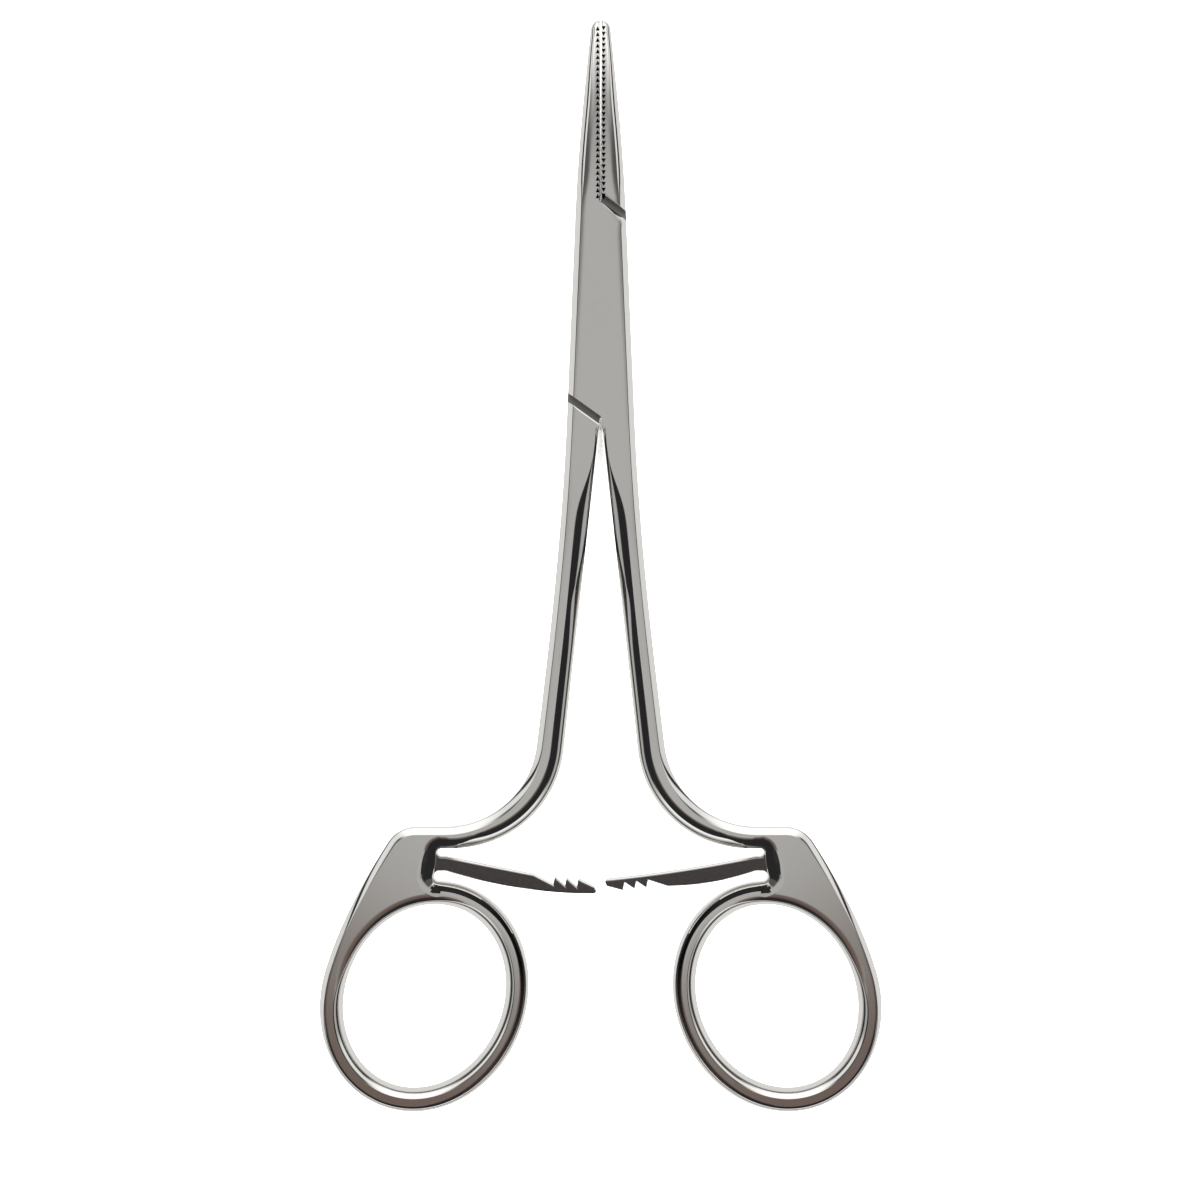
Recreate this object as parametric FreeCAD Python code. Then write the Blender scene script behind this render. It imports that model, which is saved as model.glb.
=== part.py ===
"""Box-lock hemostat forceps with straight jaws: two forged arms and the rivet that joins them.

The instrument lies flat. X runs across it, Y along it towards the jaw tips, Z up.
The origin is on the pivot axis, in the underside of the box joint. All sizes are millimetres.
"""
import FreeCAD, Part
import math
import os

overall_length = 124.7       # from the tips of the jaws to the bottom of the rings

# Jaws
jaw_length = 20.9            # from the box's upper step to the tip, on the centreline
jaw_gap = 0.2                # opening left between the closed jaws
jaw_tip_radius = 1.05
jaw_tip_thickness = 1.8
serration_count = 30
serration_pitch = 0.665
serration_depth = 0.33
serration_angle = 80.0       # included angle of each groove
serration_lead = 0.55        # from the step to the first groove
serration_stagger = 0.3      # the second jaw's grooves stand this much higher

# Box joint
box_thickness = 4.4
box_top_half_width = 2.75
box_bottom_half_width = 3.8
step_distance = 9.95         # from the pivot, square to the slanting steps
step_angle = 35.6            # how the steps slope down, away from the centreline
step_gap = 0.8               # between a plate's step and the other arm's shoulder
plate_corner_radius = 0.9
jaw_root_radius = 60.0       # eases the side of the jaw into the side of the box
tenon_thickness = 1.5
tenon_clearance = 0.05       # on each face of the tenon
wall_clearance = 0.1         # between the tenon's flanks and the slot's side walls
slot_wall_radius = 2.4       # the side walls run clear of this circle about the pivot
wall_end_angle = 20.0        # a side wall stops this far past square to the centreline
relief_angle = 32.0          # the tenon is cut back from here to the wall on its other side

# Rivet
pin_radius = 1.0
pin_seat_clearance = 0.015
pin_running_clearance = 0.04

# Shanks
crotch_half_gap = 0.1
shank_width = 3.05
shank_thickness = 3.0
shank_corner_x = 5.55        # where the shank's inner edge would meet the level of its foot
shank_foot_width = 2.4       # width of the shank where it runs into the pad
inner_bend_radius = 12.5
outer_bend_radius = 10.6
shank_end_slope = 0.124      # how fast the outer edge spreads where its bend begins
ramp_length = 20.0           # over which the box's thickness falls to the shank's

# Pads and finger rings
ring_spacing = 40.34         # between the centres of the two rings
ring_inner_long = 10.77      # half of the opening's length, and of its width
ring_inner_short = 9.02
ring_band = 2.63
ring_tilt = 23.4             # the rings lean in towards the shanks
pad_corner_reach = 2.85      # the pad's corner, outwards from the ring's centre
pad_corner_radius = 3.7
pad_side_angle = 33.0        # lean of the pad's side at its corner
pad_join_angle = 97.0        # place on the ring where the pad's side runs into it
dish_radius = 2.9            # shallow hollow in the pad, at the root of the ratchet arm

# Ratchet arms
upper_slot_width = 0.95
upper_slot_inset = 1.5       # the slot ends this far in from the ring's centre
lower_slot_width = 1.2
slot_leave_angle = 18.4      # place on the ring where the lower slot's round end begins
ratchet_root_width = 1.65
ratchet_thickness = 2.0
ratchet_tip_gap = 0.9        # between the two tips
ratchet_fall = 2.6           # from the root down to the tip
ratchet_bow = 0.45
ratchet_slope = 0.1          # of the row of teeth
ratchet_tip_width = 1.5
nose_height = 0.8
nose_setback = 0.25
tooth_count = 3
tooth_pitch = 1.35
tooth_depth = 0.92
tooth_lean = 0.18
tooth_start = 2.1            # from the tip to the first tooth
tooth_run_out = 2.2          # slope between the last tooth and the arm's full width

# Eased edges
edge_bevel = 0.5

middle = box_thickness / 2
stub_x = ring_spacing / 2 - upper_slot_inset - upper_slot_width
step_slope = math.tan(math.radians(step_angle))
step_rise = step_distance / math.cos(math.radians(step_angle))
jaw_tip_y = step_rise + jaw_length
ring_x = ring_spacing / 2
ring_long = ring_inner_long + ring_band
ring_short = ring_inner_short + ring_band
tilt = math.radians(ring_tilt)
ring_half_height = math.hypot(ring_long * math.cos(tilt), ring_short * math.sin(tilt))
ring_y = jaw_tip_y - overall_length + ring_half_height
root_bottom = ring_y + ring_half_height + lower_slot_width
root_top = root_bottom + ratchet_root_width
foot_y = root_top + upper_slot_width
pad_top = foot_y + shank_foot_width
widening = (box_bottom_half_width - box_top_half_width) / (2 * step_rise)
dish_depth = (shank_thickness - ratchet_thickness) / 2
beyond = 20.0                # how far cutting shapes reach past the metal


def at(x, y, z=0.0):
    return FreeCAD.Vector(x, y, z)


def line(start, end):
    return Part.makeLine(start, end)


def arc(start, through, end):
    return Part.Arc(start, through, end).toShape()


def blend(start, start_way, end, end_way):
    """A smooth curve from one place and direction to another."""
    reach = (end - start).Length / 3
    first = start + start_way * (reach / start_way.Length)
    last = end - end_way * (reach / end_way.Length)
    curve = Part.BezierCurve()
    curve.setPoles([start, first, last, end])
    return curve.toShape()


def rounded(before, corner, after, radius):
    """The arc that rounds a corner, with its first and last points."""
    way_in = (before - corner).normalize()
    way_out = (after - corner).normalize()
    half = way_in.getAngle(way_out) / 2
    first = corner + way_in * (radius / math.tan(half))
    last = corner + way_out * (radius / math.tan(half))
    bisector = (way_in + way_out).normalize()
    through = corner + bisector * (radius / math.sin(half) - radius)
    return first, arc(first, through, last), last


def prism(edges, bottom, height):
    face = Part.Face(Part.Wire(edges))
    face.translate(at(0, 0, bottom))
    return face.extrude(at(0, 0, height))


def closed(points):
    return [line(a, b) for a, b in zip(points, points[1:] + points[:1])]


def ring_place(long_half, short_half, angle):
    """A point of the leaning ellipse, and the direction in which the ellipse runs there."""
    turn = math.radians(angle)
    long_way = at(-math.sin(tilt), math.cos(tilt))
    short_way = at(math.cos(tilt), math.sin(tilt))
    along = long_way * (long_half * math.cos(turn)) + short_way * (short_half * math.sin(turn))
    way = short_way * (short_half * math.cos(turn)) - long_way * (long_half * math.sin(turn))
    return at(ring_x, ring_y) + along, way


def ring_curve(long_half, short_half):
    long_end = ring_place(long_half, short_half, 0)[0]
    short_end = ring_place(long_half, short_half, 90)[0]
    return Part.Ellipse(long_end, short_end, at(ring_x, ring_y))


def box_side(y):
    """Half the width of the box, which widens evenly from its upper step to its lower one."""
    return box_top_half_width + widening * (step_rise - y)


def step_end(level, side):
    """Where a slanting step meets a side of the box: level 1 is the upper step, -1 the lower."""
    x = side * (box_side(0) - widening * level * step_rise) / (1 - side * widening * step_slope)
    return at(x, level * step_rise - x * step_slope)


def crotch_point():
    return at(crotch_half_gap, -step_rise - crotch_half_gap * step_slope)


def jaw_root_point():
    return at(-jaw_gap / 2, step_rise + jaw_gap / 2 * step_slope)


def shank_edges(crotch):
    """The shank's inner edge, down round its bend to the end of the upper slot."""
    corner = at(shank_corner_x, foot_y)
    slot_end_x = ring_x - upper_slot_inset
    radius = upper_slot_width / 2
    first, bend, last = rounded(crotch, corner, at(slot_end_x, foot_y), inner_bend_radius)
    slot_start = at(slot_end_x - radius, foot_y)
    slot_stop = at(slot_end_x - radius, root_top)
    slot_end = arc(slot_start, at(slot_end_x, foot_y - radius), slot_stop)
    return [line(crotch, first), bend, line(last, slot_start), slot_end], slot_stop


def root_edges(slot_stop):
    """The stub that carries the ratchet arm, and the round end of the lower slot."""
    leave, way = ring_place(ring_long, ring_short, slot_leave_angle)
    way.normalize()
    out = at(-way.y, way.x)
    radius = lower_slot_width / 2
    slot_start = leave + out * lower_slot_width
    slot_end = arc(slot_start, leave + (out + way) * radius, leave)
    stub_top = at(stub_x, slot_stop.y)
    stub_bottom = slot_start - way * ((slot_start.x - stub_x) / way.x)
    return [line(slot_stop, stub_top), line(stub_top, stub_bottom), line(stub_bottom, slot_start), slot_end], leave


def outer_edges(leave, hip):
    """Round the ring, over the pad's corner and up the shank's outer edge to the box."""
    join, join_way = ring_place(ring_long, ring_short, pad_join_angle)
    ring = ring_curve(ring_long, ring_short)
    round_ring = Part.Arc(ring, ring.parameter(join), ring.parameter(leave)).toShape()
    lean = math.radians(pad_side_angle)
    side_way = at(math.sin(lean), -math.cos(lean))
    down = at(shank_end_slope, -1)
    bend_y = pad_top + outer_bend_radius
    bend_x = shank_corner_x * (bend_y + step_rise) / (foot_y + step_rise) + shank_width
    bend_corner = at(bend_x, bend_y) + down * outer_bend_radius
    pad_corner = at(ring_x + pad_corner_reach, pad_top)
    first, shoulder, last = rounded(bend_corner, pad_corner, pad_corner + side_way, pad_corner_radius)
    bend_last, bend, bend_first = rounded(pad_corner, bend_corner, at(bend_x, bend_y), outer_bend_radius)
    pad_side = blend(last, side_way, join, join_way)
    shank = blend(hip, at(widening, -1), bend_first, down)
    return [round_ring, pad_side, shoulder, line(first, bend_last), bend, shank]


def arm_outline():
    """One arm from above: its jaw left of the centreline, its shank and ring right of it."""
    jaw_root = jaw_root_point()
    low_corner = step_end(-1, -1)
    high_corner = step_end(1, 1)
    crotch = crotch_point()
    hip = at(box_side(crotch.y), crotch.y)
    tip_centre = at(0, jaw_tip_y - jaw_tip_radius)
    step_side = at(-box_side(step_rise), step_rise)
    reach = (step_side - tip_centre).Length
    turn = math.acos(jaw_tip_radius / reach) + math.atan2(-step_side.x, tip_centre.y - step_side.y)
    touch = tip_centre + at(-math.sin(turn), -math.cos(turn)) * jaw_tip_radius
    half_turn = math.radians(120)
    tip_side = tip_centre + at(math.cos(half_turn), math.sin(half_turn)) * jaw_tip_radius
    tip_top = at(jaw_root.x, tip_centre.y + math.sqrt(jaw_tip_radius ** 2 - jaw_root.x ** 2))
    first, plate_corner, last = rounded(hip, high_corner, jaw_root, plate_corner_radius)
    jaw_end, ease, box_start = rounded(touch, step_side, low_corner, jaw_root_radius)
    edges = [line(jaw_root, tip_top), arc(tip_top, tip_side, touch), line(touch, jaw_end), ease]
    edges += [line(box_start, low_corner), line(low_corner, crotch)]
    shank, slot_stop = shank_edges(crotch)
    root, leave = root_edges(slot_stop)
    edges += shank + root + outer_edges(leave, hip)
    edges += [line(hip, first), plate_corner, line(last, jaw_root)]
    return edges


def side_profile():
    """The arm from the side: tapering jaw, thick box, then a ramp down to the shank and ring."""
    top = box_thickness / 2
    tip = jaw_tip_thickness / 2
    low = shank_thickness / 2
    jaw_y = step_rise + step_gap
    fall = (top - tip) / 4
    ramp_y = -step_rise - step_gap
    shank_y = ramp_y - ramp_length
    end_y = ring_y - ring_half_height - beyond
    edges = []
    for up in (1, -1):
        jaw_start = at(0, jaw_y, up * top)
        halfway = at(0, (jaw_y + jaw_tip_y) / 2, up * (top - fall))
        ramp_top = at(0, ramp_y, up * top)
        ramp_foot = at(0, shank_y, up * low)
        edges.append(Part.Arc(jaw_start, halfway, at(0, jaw_tip_y, up * tip)).toShape())
        edges.append(line(jaw_start, ramp_top))
        edges.append(blend(ramp_top, at(0, -1), ramp_foot, at(0, -1)))
        edges.append(line(ramp_foot, at(0, end_y, up * low)))
    edges.append(line(at(0, jaw_tip_y, tip), at(0, jaw_tip_y, -tip)))
    edges.append(line(at(0, end_y, low), at(0, end_y, -low)))
    face = Part.Face(Part.Wire(Part.__sortEdges__(edges)))
    width = ring_x + ring_long + beyond
    face.translate(at(-width, 0, middle))
    return face.extrude(at(2 * width, 0, 0))


def rim_edges(body, skipped):
    """The edges along the top and bottom of the upright walls, apart from some straight walls."""
    found = []
    for face in body.Faces:
        u_first, u_last, v_first, v_last = face.ParameterRange
        normal = face.normalAt((u_first + u_last) / 2, (v_first + v_last) / 2)
        if abs(normal.z) > 0.001:
            continue
        for edge in face.Edges:
            centre = edge.CenterOfMass
            flat = Part.Vertex(at(centre.x, centre.y))
            climbs = abs(edge.Vertexes[0].Z - edge.Vertexes[-1].Z) > 0.8 * edge.Length
            beside = any(wall.distToShape(flat)[0] < 0.001 for wall in skipped)
            if not climbs and not beside:
                found.append(edge)
    return found


def blank_arm():
    """An arm before its joint is cut: jaw on the left, shank, pad and ring on the right."""
    hole = Part.Wire(ring_curve(ring_inner_long, ring_inner_short).toShape())
    outline = Part.Face([Part.Wire(arm_outline()), hole])
    outline.translate(at(0, 0, -beyond))
    body = outline.extrude(at(0, 0, 2 * beyond)).common(side_profile())
    jaw_face = line(jaw_root_point(), at(-jaw_gap / 2, jaw_tip_y))
    low_step = line(step_end(-1, -1), crotch_point())
    stub_end = line(at(stub_x, root_top), at(stub_x, root_bottom - lower_slot_width / 2))
    return body.makeChamfer(edge_bevel, rim_edges(body, [jaw_face, low_step, stub_end]))


def dishes():
    """Two shallow balls that hollow the pad where the thinner ratchet arm leaves it."""
    ball = (dish_radius ** 2 + dish_depth ** 2) / (2 * dish_depth)
    y = (root_top + root_bottom) / 2
    lift = shank_thickness / 2 - dish_depth + ball
    return [Part.makeSphere(ball, at(stub_x, y, middle + up * lift)) for up in (1, -1)]


def ratchet_arm(up):
    """A flat arm with saw teeth on its upper edge (up is 1) or its lower edge (up is -1)."""
    tip_x = ratchet_tip_gap / 2
    back_y, toothed_y = (root_bottom, root_top) if up > 0 else (root_top, root_bottom)
    tip_y = back_y - ratchet_fall

    def row(x):
        return at(x, tip_y + up * ratchet_tip_width + ratchet_slope * (x - tip_x))

    back_root = at(stub_x, back_y)
    toothed_root = at(stub_x, toothed_y)
    back_tip = at(tip_x + nose_setback, tip_y)
    points = [back_tip, at(tip_x, tip_y + up * nose_height / 3), at(tip_x + nose_setback, tip_y + up * nose_height)]
    for k in range(tooth_count):
        crest = row(tip_x + tooth_start + k * tooth_pitch)
        points += [crest, crest + at(tooth_lean, -up * tooth_depth)]
    points.append(row(points[-1].x + tooth_run_out))
    bow = at(0, -ratchet_bow)
    edges = [line(a, b) for a, b in zip(points, points[1:])]
    edges.append(arc(points[-1], (points[-1] + toothed_root) / 2 + bow / 2, toothed_root))
    edges.append(line(toothed_root, back_root))
    edges.append(arc(back_root, (back_root + back_tip) / 2 + bow, back_tip))
    return prism(edges, middle - ratchet_thickness / 2, ratchet_thickness)


def serrations(side):
    """Grooves across the inner face of a jaw: side is -1 for the left jaw, 1 for the right one."""
    half = serration_depth * math.tan(math.radians(serration_angle / 2))
    mouth = side * jaw_gap / 2
    lead = serration_lead + (serration_stagger if side > 0 else 0)
    grooves = []
    for k in range(serration_count):
        y = step_rise + lead + k * serration_pitch
        root = at(mouth + side * serration_depth, y)
        slope = at(side * serration_depth, half)
        upper = root - at(slope.x, -slope.y) * 1.2
        lower = root - at(slope.x, slope.y) * 1.2
        grooves.append(prism(closed([root, upper, lower]), -beyond, 2 * beyond))
    return grooves


def turned(place, angle):
    turn = math.radians(angle)
    return at(place.x * math.cos(turn) - place.y * math.sin(turn), place.x * math.sin(turn) + place.y * math.cos(turn))


def wall_touch():
    """Where the slot's left wall, run down from the root of the left jaw, passes the pivot."""
    root = jaw_root_point()
    spread = math.degrees(math.acos(slot_wall_radius / root.Length))
    return turned(root, spread) * (slot_wall_radius / root.Length)


def slot():
    """The space through the box, open to both sides past the ends of its two side walls."""
    end_way = turned(at(-1, 0), -wall_end_angle)
    reach = slot_wall_radius / math.cos(wall_touch().getAngle(end_way))
    half = [jaw_root_point(), end_way * reach, end_way * beyond, at(-beyond, -beyond), at(0, -beyond)]
    thickness = tenon_thickness + 2 * tenon_clearance
    return prism(closed(half + [point * -1 for point in half]), middle - thickness / 2, thickness)


def tenon_reach():
    """The plan of everything that the male arm keeps: its jaw, its tenon and its shank."""
    radius = slot_wall_radius - wall_clearance
    along = wall_touch() - jaw_root_point()
    touch = wall_touch() * (radius / slot_wall_radius)
    start = touch - along * (touch.x / along.x)
    relief_way = turned(at(-1, 0), relief_angle)
    far = 10 * beyond
    halfway = touch + relief_way * radius
    through = halfway * (radius / halfway.Length)
    edges = []
    for turn in (1, -1):
        points = [relief_way * radius, relief_way * far, at(-far, -far), at(0, -far), start * -1]
        edges.append(line(start * turn, touch * turn))
        edges.append(arc(touch * turn, through * turn, points[0] * turn))
        edges += [line(a * turn, b * turn) for a, b in zip(points, points[1:])]
    return prism(edges, -beyond, 2 * beyond)


def shoulders():
    """The two slabs taken off the male arm above and below its tenon, from step to step."""
    across = turned(at(1, 0), -step_angle)
    up = turned(across, 90)
    reach = step_distance + step_gap
    corners = [up * reach + across * beyond, up * reach - across * beyond]
    corners += [corner * -1 for corner in corners]
    above = middle + tenon_thickness / 2
    below = middle - tenon_thickness / 2 - beyond
    return [prism(closed(corners), bottom, beyond) for bottom in (above, below)]


def bore(radius):
    return Part.makeCylinder(radius, 2 * beyond, at(0, 0, -beyond))


def female_arm():
    body = blank_arm().cut(dishes()).fuse(ratchet_arm(-1))
    body = body.cut(slot()).cut(serrations(-1))
    return body.cut(bore(pin_radius + pin_seat_clearance))


def male_arm():
    left_arm = blank_arm().cut(dishes()).fuse(ratchet_arm(1)).mirror(at(0, 0), at(1, 0))
    body = left_arm.common(tenon_reach()).cut(shoulders()).cut(serrations(1))
    return body.cut(bore(pin_radius + pin_running_clearance))


def hinge_pin():
    return Part.makeCylinder(pin_radius, box_thickness)


def export(name, shape):
    shape.exportStep(os.path.join("parts", name + ".step"))
    print(name, shape.isValid(), len(shape.Solids), round(shape.Volume, 2))


os.makedirs("parts", exist_ok=True)
export("female_arm", female_arm())
export("male_arm", male_arm())
export("hinge_pin", hinge_pin())
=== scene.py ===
"""Straight hemostat forceps in polished steel: the finished surfaces over the fixed frame.

The arms are drawn in millimetres about the middle plane of the box joint, then brought to metres.
"""
import math

import bmesh
import bpy
from mathutils import Matrix, Vector
from mathutils.geometry import interpolate_bezier


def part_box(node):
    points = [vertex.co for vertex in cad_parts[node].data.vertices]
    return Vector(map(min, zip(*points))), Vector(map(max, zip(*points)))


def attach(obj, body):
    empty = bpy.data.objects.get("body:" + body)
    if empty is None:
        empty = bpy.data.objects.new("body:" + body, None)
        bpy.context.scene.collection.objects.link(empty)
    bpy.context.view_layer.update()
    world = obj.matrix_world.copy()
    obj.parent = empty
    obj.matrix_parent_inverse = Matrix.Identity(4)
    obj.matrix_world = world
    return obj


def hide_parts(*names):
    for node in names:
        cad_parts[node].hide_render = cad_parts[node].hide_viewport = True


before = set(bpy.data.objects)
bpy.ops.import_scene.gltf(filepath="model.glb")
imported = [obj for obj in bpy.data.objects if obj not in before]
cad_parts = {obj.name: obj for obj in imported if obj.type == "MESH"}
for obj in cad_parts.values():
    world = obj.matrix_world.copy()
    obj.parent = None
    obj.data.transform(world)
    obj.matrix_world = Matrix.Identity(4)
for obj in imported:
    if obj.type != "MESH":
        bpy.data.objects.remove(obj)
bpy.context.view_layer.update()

# The two arms. Each is one drop forging of hardenable stainless steel: jaw, half of the box joint,
# shank, pad, finger ring and ratchet arm. The joint and the teeth are milled, and the outside is
# ground and then polished on soft wheels, which leaves crisp bevels outside and soft edges inside.
mm = 0.001
arm_low, arm_high = [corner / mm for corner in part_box("female_arm")]
box_thickness = arm_high.z - arm_low.z
box_middle = (arm_high.z + arm_low.z) / 2
jaw_tip_y = arm_high.y
jaw_length = 20.9
jaw_gap = 0.2
jaw_tip_radius = 1.15
jaw_tip_thickness = 1.8
jaw_side_radius = 250.0
jaw_side_y = 17.5
box_top_half_width = 2.84
box_bottom_half_width = 3.85
step_angle = math.radians(35.6)
step_distance = 9.95
step_gap = 0.8
plate_corner_radius = 0.9
shank_width = 3.15
shank_thickness = 3.0
shank_corner_x = 5.45
shank_end_slope = 0.124
inner_bend_radius = 12.5
outer_bend_radius = 10.6
ramp_length = 20.0
ring_x = 20.17
ring_inner_long = 10.77
ring_inner_short = 9.02
ring_band = 2.63
tilt = math.radians(23.4)
pad_corner_reach = 3.0
pad_corner_radius = 3.7
pad_side_angle = math.radians(33.0)
pad_join_angle = 97.0
shank_foot_width = 2.4
upper_slot_width = 0.95
upper_slot_inset = 1.5
lower_slot_width = 1.2
slot_leave_angle = 18.4
ratchet_root_width = 1.65
slot_side_angle = math.radians(9.0)

step_slope = math.tan(step_angle)
step_rise = jaw_tip_y - jaw_length
widening = (box_bottom_half_width - box_top_half_width) / (2 * step_rise)
ring_long = ring_inner_long + ring_band
ring_short = ring_inner_short + ring_band
ring_half_height = math.hypot(ring_long * math.cos(tilt), ring_short * math.sin(tilt))
ring_y = arm_low.y + ring_half_height
root_bottom = ring_y + ring_half_height + lower_slot_width
root_top = root_bottom + ratchet_root_width
foot_y = root_top + upper_slot_width
pad_top = foot_y + shank_foot_width
stub_x = ring_x - upper_slot_inset - upper_slot_width

# How an edge is dressed: its reach in over the face, its drop down the wall, its fullness, from 1
# for a flat bevel to 2 for a full round, and the width and slope of the shallow lead into it.
bevelled = Vector((0.7, 0.84, 1.1, 0.9, 0.075))
shouldered = Vector((0.82, 0.56, 1.15, 0.0, 0.0))
jaw_side = Vector((0.8, 0.74, 1.3, 0.9, 0.17))
jaw_end = Vector((0.5, 0.47, 1.3, 0.25, 0.1))
fine = Vector((0.08, 0.1, 2.0, 0.0, 0.0))
crisp = Vector((0.2, 0.11, 1.0, 0.0, 0.0))
broken = Vector((0.25, 0.03, 1.0, 0.0, 0.78))
scooped = Vector((0.25, 0.03, 1.0, 1.4, 0.78))
softened = Vector((1.66, 1.25, 2.0, 0.0, 0.0))
slot_edge = Vector((0.25, 0.35, 1.2, 1.0, 0.42))
collar = Vector((0.06, 0.05, 1.2, 2.0, 0.42))
ring_top = Vector((0.45, 0.8, 1.5, 1.1, 0.2))
ring_side = Vector((0.62, 0.82, 1.1, 0.4, 0.05))
ring_foot = Vector((0.5, 0.75, 2.0, 0.3, 0.2))
rolled = Vector((0.62, 0.85, 2.0, 0.5, 0.25))
hole_edge = Vector((1.05, 1.26, 1.3, 0.0, 0.0))
hole_top = Vector((0.5, 0.75, 1.4, 0.9, 0.17))
dressing_run = 1.3                # how far each way along the edge a dressing is averaged
finest_turn = math.radians(4)
longest_step = 0.7
spare = 1.4                       # metal left below the lower step until it is milled
round_rows = 10
lead_rows = 4
hole_top_angle = 54


def ease_in(value, start, end):
    """Rises smoothly from 0 at start to 1 at end."""
    share = min(max((value - start) / (end - start), 0.0), 1.0)
    return share * share * (3 - 2 * share)


def sweep_points(centre, start, sweep):
    """Points round a centre from a first spoke, close enough together to look round."""
    steps = max(4, math.ceil(abs(sweep) / min(finest_turn, 0.5 / start.length)))
    return [centre + Matrix.Rotation(sweep * k / steps, 2) @ start for k in range(steps + 1)]


def corner_arc(before, corner, after, radius):
    """The arc that rounds a corner, from its first touching point to its last."""
    way_in = (before - corner).normalized()
    way_out = (after - corner).normalized()
    half = way_in.angle(way_out) / 2
    centre = corner + (way_in + way_out).normalized() * (radius / math.sin(half))
    start = corner + way_in * (radius / math.tan(half)) - centre
    turn_side = way_in.x * way_out.y - way_in.y * way_out.x
    return sweep_points(centre, start, math.copysign(math.pi - 2 * half, -turn_side))


def blend(start, start_way, end, end_way, count):
    """Points along a smooth curve from one place and direction to another."""
    reach = (end - start).length / 3
    first = start + start_way.normalized() * reach
    last = end - end_way.normalized() * reach
    return interpolate_bezier(start, first, last, end, count)


def ring_place(long_half, short_half, degrees):
    """A point of the leaning ellipse, and the direction in which the ellipse runs there."""
    turn = math.radians(degrees)
    lean = Matrix.Rotation(tilt, 2)
    place = lean @ Vector((short_half * math.sin(turn), long_half * math.cos(turn)))
    way = lean @ Vector((short_half * math.cos(turn), -long_half * math.sin(turn)))
    return Vector((ring_x, ring_y)) + place, way.normalized()


def box_side(y):
    """Half the width of the box at a place along it."""
    return box_top_half_width + widening * (step_rise - y)


def step_end(level, side):
    """Where a slanting step meets a side of the box: level 1 is the upper step, -1 the lower."""
    x = side * (box_side(0) - widening * level * step_rise) / (1 - side * widening * step_slope)
    return Vector((x, level * step_rise - x * step_slope))


def half_thickness(y):
    """Half the arm's thickness along its length: tapered jaw, thick box, ramp, thin shank."""
    top = box_thickness / 2
    taper = (y - step_rise - step_gap) / (jaw_length - step_gap)
    if taper > 0:
        return top - (top - jaw_tip_thickness / 2) * min(taper, 1.0) ** 2
    ramp = ease_in(y, -step_rise - step_gap, -step_rise - step_gap - ramp_length)
    return top - (top - shank_thickness / 2) * ramp


def jaw_edges(jaw_root, low_corner):
    """Up the jaw's inner edge, round its tip and down its outer side into the side of the box."""
    tip_centre = Vector((0, jaw_tip_y - jaw_tip_radius))
    side_corner = Vector((-box_side(jaw_side_y), jaw_side_y))
    to_side = side_corner - tip_centre
    lean = math.acos(jaw_tip_radius / to_side.length) + math.atan2(-to_side.x, -to_side.y)
    start = math.acos(-jaw_gap / 2 / jaw_tip_radius)
    spoke = Vector((math.cos(start), math.sin(start))) * jaw_tip_radius
    tip = sweep_points(tip_centre, spoke, math.pi * 1.5 - lean - start)
    found = [(jaw_root, fine)]
    for k, place in enumerate(tip):
        if k == 0 or (place - tip[0]).length > 0.35:
            found.append((place, fine.lerp(jaw_end, ease_in(k / len(tip), 0, 0.6))))
    side = corner_arc(tip[-1], side_corner, low_corner, jaw_side_radius)
    side = [tip[-1].lerp(side[0], k / 12) for k in range(1, 12)] + side
    for place in side + [side[-1].lerp(low_corner, 0.05)]:
        form = jaw_end.lerp(jaw_side, ease_in(place.y, 31, 23))
        found.append((place, form.lerp(bevelled, ease_in(place.y, 16, step_rise))))
    return found


def slot_centres():
    """The centres of the round ends of the slots above and below the ratchet arm's root."""
    leave, way = ring_place(ring_long, ring_short, slot_leave_angle)
    lower = leave + Vector((-way.y, way.x)) * (lower_slot_width / 2)
    return Vector((stub_x + upper_slot_width / 2, foot_y - upper_slot_width / 2)), lower, leave


def shank_inside(crotch):
    """Down the shank's inner edge, round its bend and round the upper slot's end."""
    centre = slot_centres()[0]
    spoke = Vector((0, upper_slot_width / 2))
    bend = corner_arc(crotch, Vector((shank_corner_x, foot_y)), centre + spoke, inner_bend_radius)
    found = []
    for k in range(2, 50):
        place = crotch.lerp(bend[0], k / 50)
        begun = broken.lerp(scooped, ease_in(place.y, -16.5, -24))
        found.append((place, begun.lerp(softened, ease_in(place.y, -26, -40))))
    for place in bend:
        found.append((place, softened.lerp(slot_edge, ease_in(place.x, 12.5, 17))))
    round_end = sweep_points(centre, spoke, slot_side_angle - math.pi / 2)
    for place in round_end:
        found.append((place, slot_edge.lerp(collar, ease_in(place.y, foot_y, centre.y))))
    return found


def ring_outside():
    """Round the lower slot's end and round the ring to the pad's side."""
    centre, leave = slot_centres()[1:]
    spoke = Vector((math.cos(slot_side_angle), math.sin(slot_side_angle))) * (lower_slot_width / 2)
    round_end = sweep_points(centre, spoke, -spoke.angle(leave - centre))
    found = [(place, collar.lerp(ring_top, ease_in(place.y, centre.y, leave.y))) for place in round_end]
    last = 360 + slot_leave_angle
    for k in range(1, 180):
        angle = last + (pad_join_angle - last) * k / 180
        place = ring_place(ring_long, ring_short, angle)[0]
        form = ring_side.lerp(ring_foot, ease_in(angle, 105, 165)).lerp(rolled, ease_in(angle, 200, 260))
        found.append((place, form.lerp(ring_top, ease_in(angle, 320, 360))))
    return found


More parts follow.
